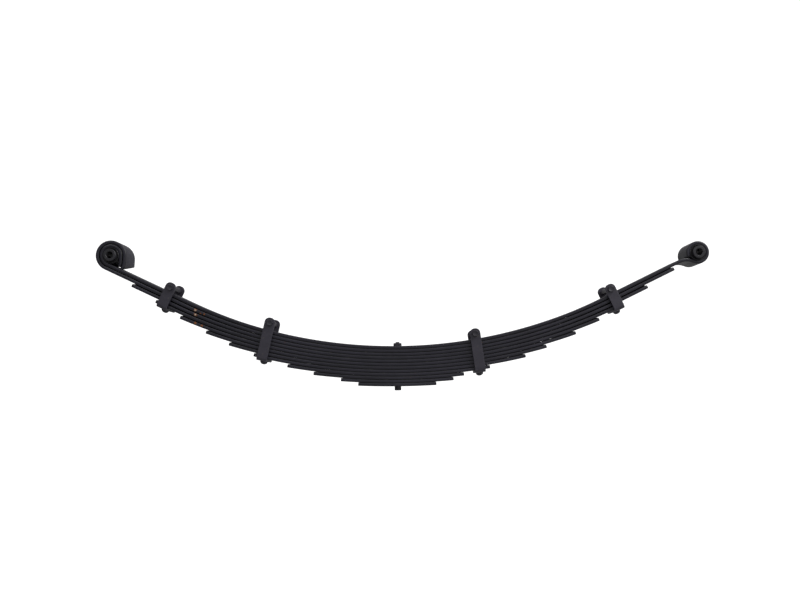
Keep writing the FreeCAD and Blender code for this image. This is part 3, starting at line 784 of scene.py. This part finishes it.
def tube_profile(outer, inner, half, chamfer):
    """Closed profile of a tube with chamfered rims, both ends."""
    return [
        (inner, -half + chamfer),
        (inner + chamfer, -half),
        (outer - chamfer, -half),
        (outer, -half + chamfer),
        (outer, 0.0),
        (outer, half - chamfer),
        (outer - chamfer, half),
        (inner + chamfer, half),
        (inner, half - chamfer),
        (inner, 0.0),
    ]


def rubber_profile(outer, inner, half):
    """Closed profile of the bonded rubber: each end face is drawn in like a meniscus."""
    profile = []
    steps = 8
    for sign in (-1, 1):
        face = []
        for step in range(steps + 1):
            share = step / steps
            dip = 1.6 * MM * math.sin(math.pi * share)
            face.append((inner + (outer - inner) * share, sign * (half - dip)))
        profile.extend(face if sign < 0 else face[::-1])
    return profile


def build_bush(end, centre):
    place = Matrix.Translation(centre) @ ALONG_Y
    shell = lathe(tube_profile(*SHELL, 0.4 * MM), 72, closed=True)
    rubber = lathe(rubber_profile(*RUBBER), 72, closed=True)
    sleeve = lathe(tube_profile(*SLEEVE, 0.9 * MM), 72, closed=True)
    finished(end + "_bush_shell", transformed(shell, place), sleeve_paint, end + "_eye", 0.4)
    finished(end + "_bush_rubber", transformed(rubber, place), bush_rubber, end + "_eye")
    finished(end + "_bush_sleeve", transformed(sleeve, place), sleeve_paint, end + "_sleeve",
             0.8)


# -------------------------------------------------------------------------------------------- clips
def face_point(number, x, depth):
    """Point at X on the face lying `depth` below a leaf's concave face, and the slope there."""
    centre = arch_centre(number)
    radius = RADII[number - 1] + depth
    reach = radius * math.sin(ARCH)
    if abs(x) <= reach:
        turn = math.asin(x / radius)
        return Vector((x, 0, centre.z - radius * math.cos(turn))), turn
    height = centre.z - radius * math.cos(ARCH) + (abs(x) - reach) * math.tan(ARCH)
    return Vector((x, 0, height)), math.copysign(ARCH, x)


def clip_matrix(number, x):
    point, slope = face_point(number, x, THICKNESS)
    return Matrix.Translation(point) @ Matrix.Rotation(-slope, 4, "Y")


STRAP_EDGE = 0.9 * MM
TOP_ROUND = 11.5 * MM
OUTER_BEND = 8.0 * MM


def strap_path(leg_top):
    """Middle line of the U as (y, z, inward normal, distance to the nearer leg top)."""
    middle = CLIP_INNER + CLIP_THICKNESS / 2
    floor = -CLIP_SEAT_GAP - CLIP_THICKNESS / 2
    bend = OUTER_BEND - CLIP_THICKNESS / 2
    half = []
    drops = [TOP_ROUND * (1 - math.cos(step / 12 * math.pi / 2)) for step in range(13)]
    for drop in drops[:-1]:
        half.append((middle, leg_top - drop, Vector((-1, 0)), drop))
    leg_bottom = floor + bend
    leg_start = leg_top - TOP_ROUND
    for step in range(11):
        height = leg_start + (leg_bottom - leg_start) * step / 10
        half.append((middle, height, Vector((-1, 0)), leg_top - height))
    for step in range(1, 7):
        angle = -math.pi / 2 * step / 6
        outward = Vector((math.cos(angle), math.sin(angle)))
        half.append((middle - bend + bend * outward.x, leg_bottom + bend * outward.y, -outward, 1.0))
    for step in range(1, 9):
        half.append(((middle - bend) * (1 - step / 8), floor, Vector((0, 1)), 1.0))
    mirrored = [(-y, z, Vector((-normal.x, normal.y)), drop) for y, z, normal, drop in half[:-1]]
    return mirrored + half[::-1]


def strap_mesh(leg_top):
    """The strap's rounded-edge section swept round the U, its width closing in at the leg tops."""
    points, edge = [], []
    path = strap_path(leg_top)
    corners = []
    for quarter in range(4):
        for step in range(4):
            corners.append(math.pi / 2 * (quarter + step / 3))
    for y, z, normal, drop in path:
        half_width = CLIP_WIDTH / 2
        if drop < TOP_ROUND:
            half_width += math.sqrt(max(0.0, TOP_ROUND ** 2 - (TOP_ROUND - drop) ** 2)) - TOP_ROUND
        half_thick = CLIP_THICKNESS / 2
        if drop < STRAP_EDGE:
            trim = STRAP_EDGE - math.sqrt(max(0.0, STRAP_EDGE ** 2 - (STRAP_EDGE - drop) ** 2))
            half_thick -= trim
        for angle in corners:
            across = math.cos(angle + 1e-6)
            through = math.sin(angle + 1e-6)
            reach_x = math.copysign(max(half_width - STRAP_EDGE, 0.0), across) + STRAP_EDGE * across
            reach_n = math.copysign(half_thick - STRAP_EDGE, through) + STRAP_EDGE * through
            points.append(Vector((reach_x, y + normal.x * reach_n, z + normal.y * reach_n)))
            edge.append(0.9)
    columns = len(corners)
    faces = grid_faces(len(path), columns)
    faces.append(end_cap(0, columns))
    faces.append(end_cap(len(path) - 1, columns))
    return points, faces, edge


RIVET_RADIUS = 5.0 * MM
DOME_RADIUS = 9.0 * MM
DOME_HEIGHT = 7.5 * MM
FLUSH_RADIUS = 7.75 * MM
CLIP_SHANK = 4.0 * MM
CLIP_HEAD_FLATS = 13.0 * MM
CLIP_HEAD_HEIGHT = 5.3 * MM
CLIP_NUT_HEIGHT = 6.5 * MM
CLIP_STUB = 2.5 * MM
SPACER_RADIUS = 7.0 * MM
RIVET_SUNK = 0.15 * MM            # the set head lies this far below the leaf's concave face
POLE = 0.3 * MM                   # radius of the flat in the middle of a turned end


def rivet_mesh():
    face = -CLIP_SEAT_GAP - CLIP_THICKNESS
    top = THICKNESS - RIVET_SUNK
    rim = 0.2 * MM
    brim = 0.3 * MM
    neck = top - (FLUSH_RADIUS - RIVET_RADIUS)
    profile = [
        (POLE, top),
        (FLUSH_RADIUS - rim, top),
        (FLUSH_RADIUS, top - rim),
        (RIVET_RADIUS, neck),
        (RIVET_RADIUS, face),
        (DOME_RADIUS - 0.5 * MM, face),
    ]
    steps = 12
    for step in range(steps):
        angle = math.pi / 2 * step / steps
        drop = brim + (DOME_HEIGHT - brim) * math.sin(angle)
        profile.append((DOME_RADIUS * math.cos(angle) ** 0.85, face - drop))
    profile.append((POLE, face - DOME_HEIGHT))
    return lathe(profile, 48)


def build_clip(name, number, x):
    seat = clip_matrix(number, x)
    # Height of the clip bolt above the clip's seat, along the clip, read from the CAD spacer.
    rise = (seat.inverted() @ node_centre(name + "_spacer")).z
    outer = CLIP_INNER + CLIP_THICKNESS
    tone = 0.3 + 0.5 * (abs(x) / MM % 97) / 97
    points, faces, edge = strap_mesh(rise + CLIP_WIDTH / 2)
    strap = (moved(points, seat), faces)
    finished(name + "_strap", strap, clip_paint, name, tone, 30.0, edge)
    finished(name + "_rivet", transformed(rivet_mesh(), seat), fastener_paint, name, tone)

    near = seat @ Matrix.Translation((0, -outer, rise)) @ Matrix.Rotation(math.pi / 2, 4, "X")
    turn = 0.4 + abs(x) * 3
    head = hex_body(CLIP_HEAD_FLATS, CLIP_HEAD_HEIGHT, 0.0, turn)
    far = seat @ Matrix.Translation((0, -outer, rise)) @ ALONG_Y
    length = 2 * outer + CLIP_NUT_HEIGHT + CLIP_STUB
    shank = lathe([(CLIP_SHANK, -0.5 * MM), (CLIP_SHANK, 2 * outer + 1.0 * MM)], 36)
    thread = thread_rows(CLIP_SHANK, 0.6 * MM, 1.25 * MM, 2 * outer + 1.0 * MM, length, 0.9 * MM, 36)
    bolt = merged(transformed(head, near), transformed(shank, far), transformed(thread, far))
    finished(name + "_bolt", bolt, fastener_paint, name, tone)

    nut_seat = seat @ Matrix.Translation((0, outer, rise)) @ ALONG_Y
    nut = hex_body(CLIP_HEAD_FLATS, CLIP_NUT_HEIGHT, CLIP_SHANK + THREAD_PLAY, turn + 0.3, both_ends=True)
    finished(name + "_nut", transformed(nut, nut_seat), fastener_paint, name, 1 - tone)

    axis = seat @ Matrix.Translation((0, 0, rise)) @ ALONG_Y
    spacer = lathe(tube_profile(SPACER_RADIUS, CLIP_SHANK + 0.3 * MM, CLIP_INNER, 0.5 * MM), 48, closed=True)
    finished(name + "_spacer", transformed(spacer, axis), fastener_paint, name, 0.9)


for number in range(1, LEAF_COUNT + 1):
    build_leaf(number)
build_centre_bolt()
build_bush("front", FRONT_EYE)
build_bush("rear", REAR_EYE)
for name, number, x in CLIPS:
    build_clip(name, number, x)


# ------------------------------------------------------------------------------- studio and camera
FLOOR_HEIGHT = -0.9
BACK_WALL = 3.2
COVE_RADIUS = 1.2


# Brightness of the stage and of the sky: as the camera sees them, and as the spring sees them.
STAGE_GLOW = (1.0, 0.05)
SKY_GLOW = (1.0, 0.42)
SKY_SIDES = (0.2, 1.6)             # the sky is dimmer toward -X than toward +X


def seen_directly(tree, direct, elsewhere):
    path = node(tree, "ShaderNodeLightPath")
    return ramp(tree, path.outputs["Is Camera Ray"], 0.0, 1.0, elsewhere, direct)


def build_floor():
    """Seamless pale floor that curves up into a back wall."""
    profile = [(-6.0, FLOOR_HEIGHT)]
    for step in range(13):
        angle = -math.pi / 2 + math.pi / 2 * step / 12
        profile.append((BACK_WALL - COVE_RADIUS + COVE_RADIUS * math.cos(angle),
                        FLOOR_HEIGHT + COVE_RADIUS + COVE_RADIUS * math.sin(angle)))
    profile.append((BACK_WALL, 7.0))
    points = []
    for y, z in profile:
        points.extend([Vector((-9.0, y, z)), Vector((9.0, y, z))])
    faces = grid_faces(len(profile), 2, closed_columns=False)
    floor = mesh_object("studio_floor", points, faces, crease=60.0)
    material, tree, shader = new_material("studio_white")
    shader.inputs["Base Color"].default_value = (0.35, 0.35, 0.35, 1.0)
    shader.inputs["Roughness"].default_value = 0.9
    shader.inputs["Emission Color"].default_value = (1.0, 1.0, 1.0, 1.0)
    tree.links.new(seen_directly(tree, *STAGE_GLOW), shader.inputs["Emission Strength"])
    floor.data.materials.append(material)


def soft_light(name, place, target, width, height, power):
    lamp = bpy.data.lights.new(name, "AREA")
    lamp.shape = "RECTANGLE"
    lamp.size = width
    lamp.size_y = height
    lamp.energy = power
    obj = bpy.data.objects.new(name, lamp)
    obj.location = place
    obj.rotation_euler = (Vector(target) - Vector(place)).to_track_quat("-Z", "Y").to_euler()
    bpy.context.scene.collection.objects.link(obj)


def build_world():
    world = bpy.data.worlds.new("studio")
    world.use_nodes = True
    background = world.node_tree.nodes["Background"]
    background.inputs["Color"].default_value = (1.0, 1.0, 1.0, 1.0)
    tree = world.node_tree
    way = node(tree, "ShaderNodeSeparateXYZ")
    tree.links.new(node(tree, "ShaderNodeTexCoord").outputs["Generated"], way.inputs[0])
    sides = ramp(tree, way.outputs["X"], -0.8, 0.8, *SKY_SIDES)
    direct, elsewhere = SKY_GLOW
    glow = math_node(tree, "MULTIPLY", sides, elsewhere)
    glow = math_node(tree, "MAXIMUM", glow, seen_directly(tree, direct, 0.0))
    tree.links.new(glow, background.inputs["Strength"])
    bpy.context.scene.world = world


# The camera looks level along +Y from a little right of the centre bolt, just above the seat.
CAMERA_PLACE = Vector((25.8 * MM, -2.066, 18.5 * MM))
CAMERA_ROLL = math.radians(0.6)
FOCAL_LENGTH = 38.56
FRAME_SHIFT = (-0.0107, 0.0981)


def build_camera():
    data = bpy.data.cameras.new("camera")
    data.sensor_width = 36.0
    data.lens = FOCAL_LENGTH
    data.shift_x, data.shift_y = FRAME_SHIFT
    data.clip_start = 0.05
    data.clip_end = 50.0
    camera = bpy.data.objects.new("camera", data)
    camera.matrix_world = (
        Matrix.Translation(CAMERA_PLACE)
        @ Matrix.Rotation(CAMERA_ROLL, 4, "Y")
        @ Matrix.Rotation(math.pi / 2, 4, "X")
    )
    bpy.context.scene.collection.objects.link(camera)
    bpy.context.scene.camera = camera


build_floor()
build_world()
soft_light("key_left", (-1.6, -1.4, 2.4), (0, 0, 0.1), 2.2, 1.4, 22)
soft_light("key_right", (1.9, -1.0, 2.2), (0, 0, 0.1), 1.8, 1.4, 55)
soft_light("back_top", (0, 1.8, 2.6), (0, 0.3, 0.1), 4.0, 1.2, 25)
build_camera()
bpy.context.scene.view_settings.view_transform = "Standard"
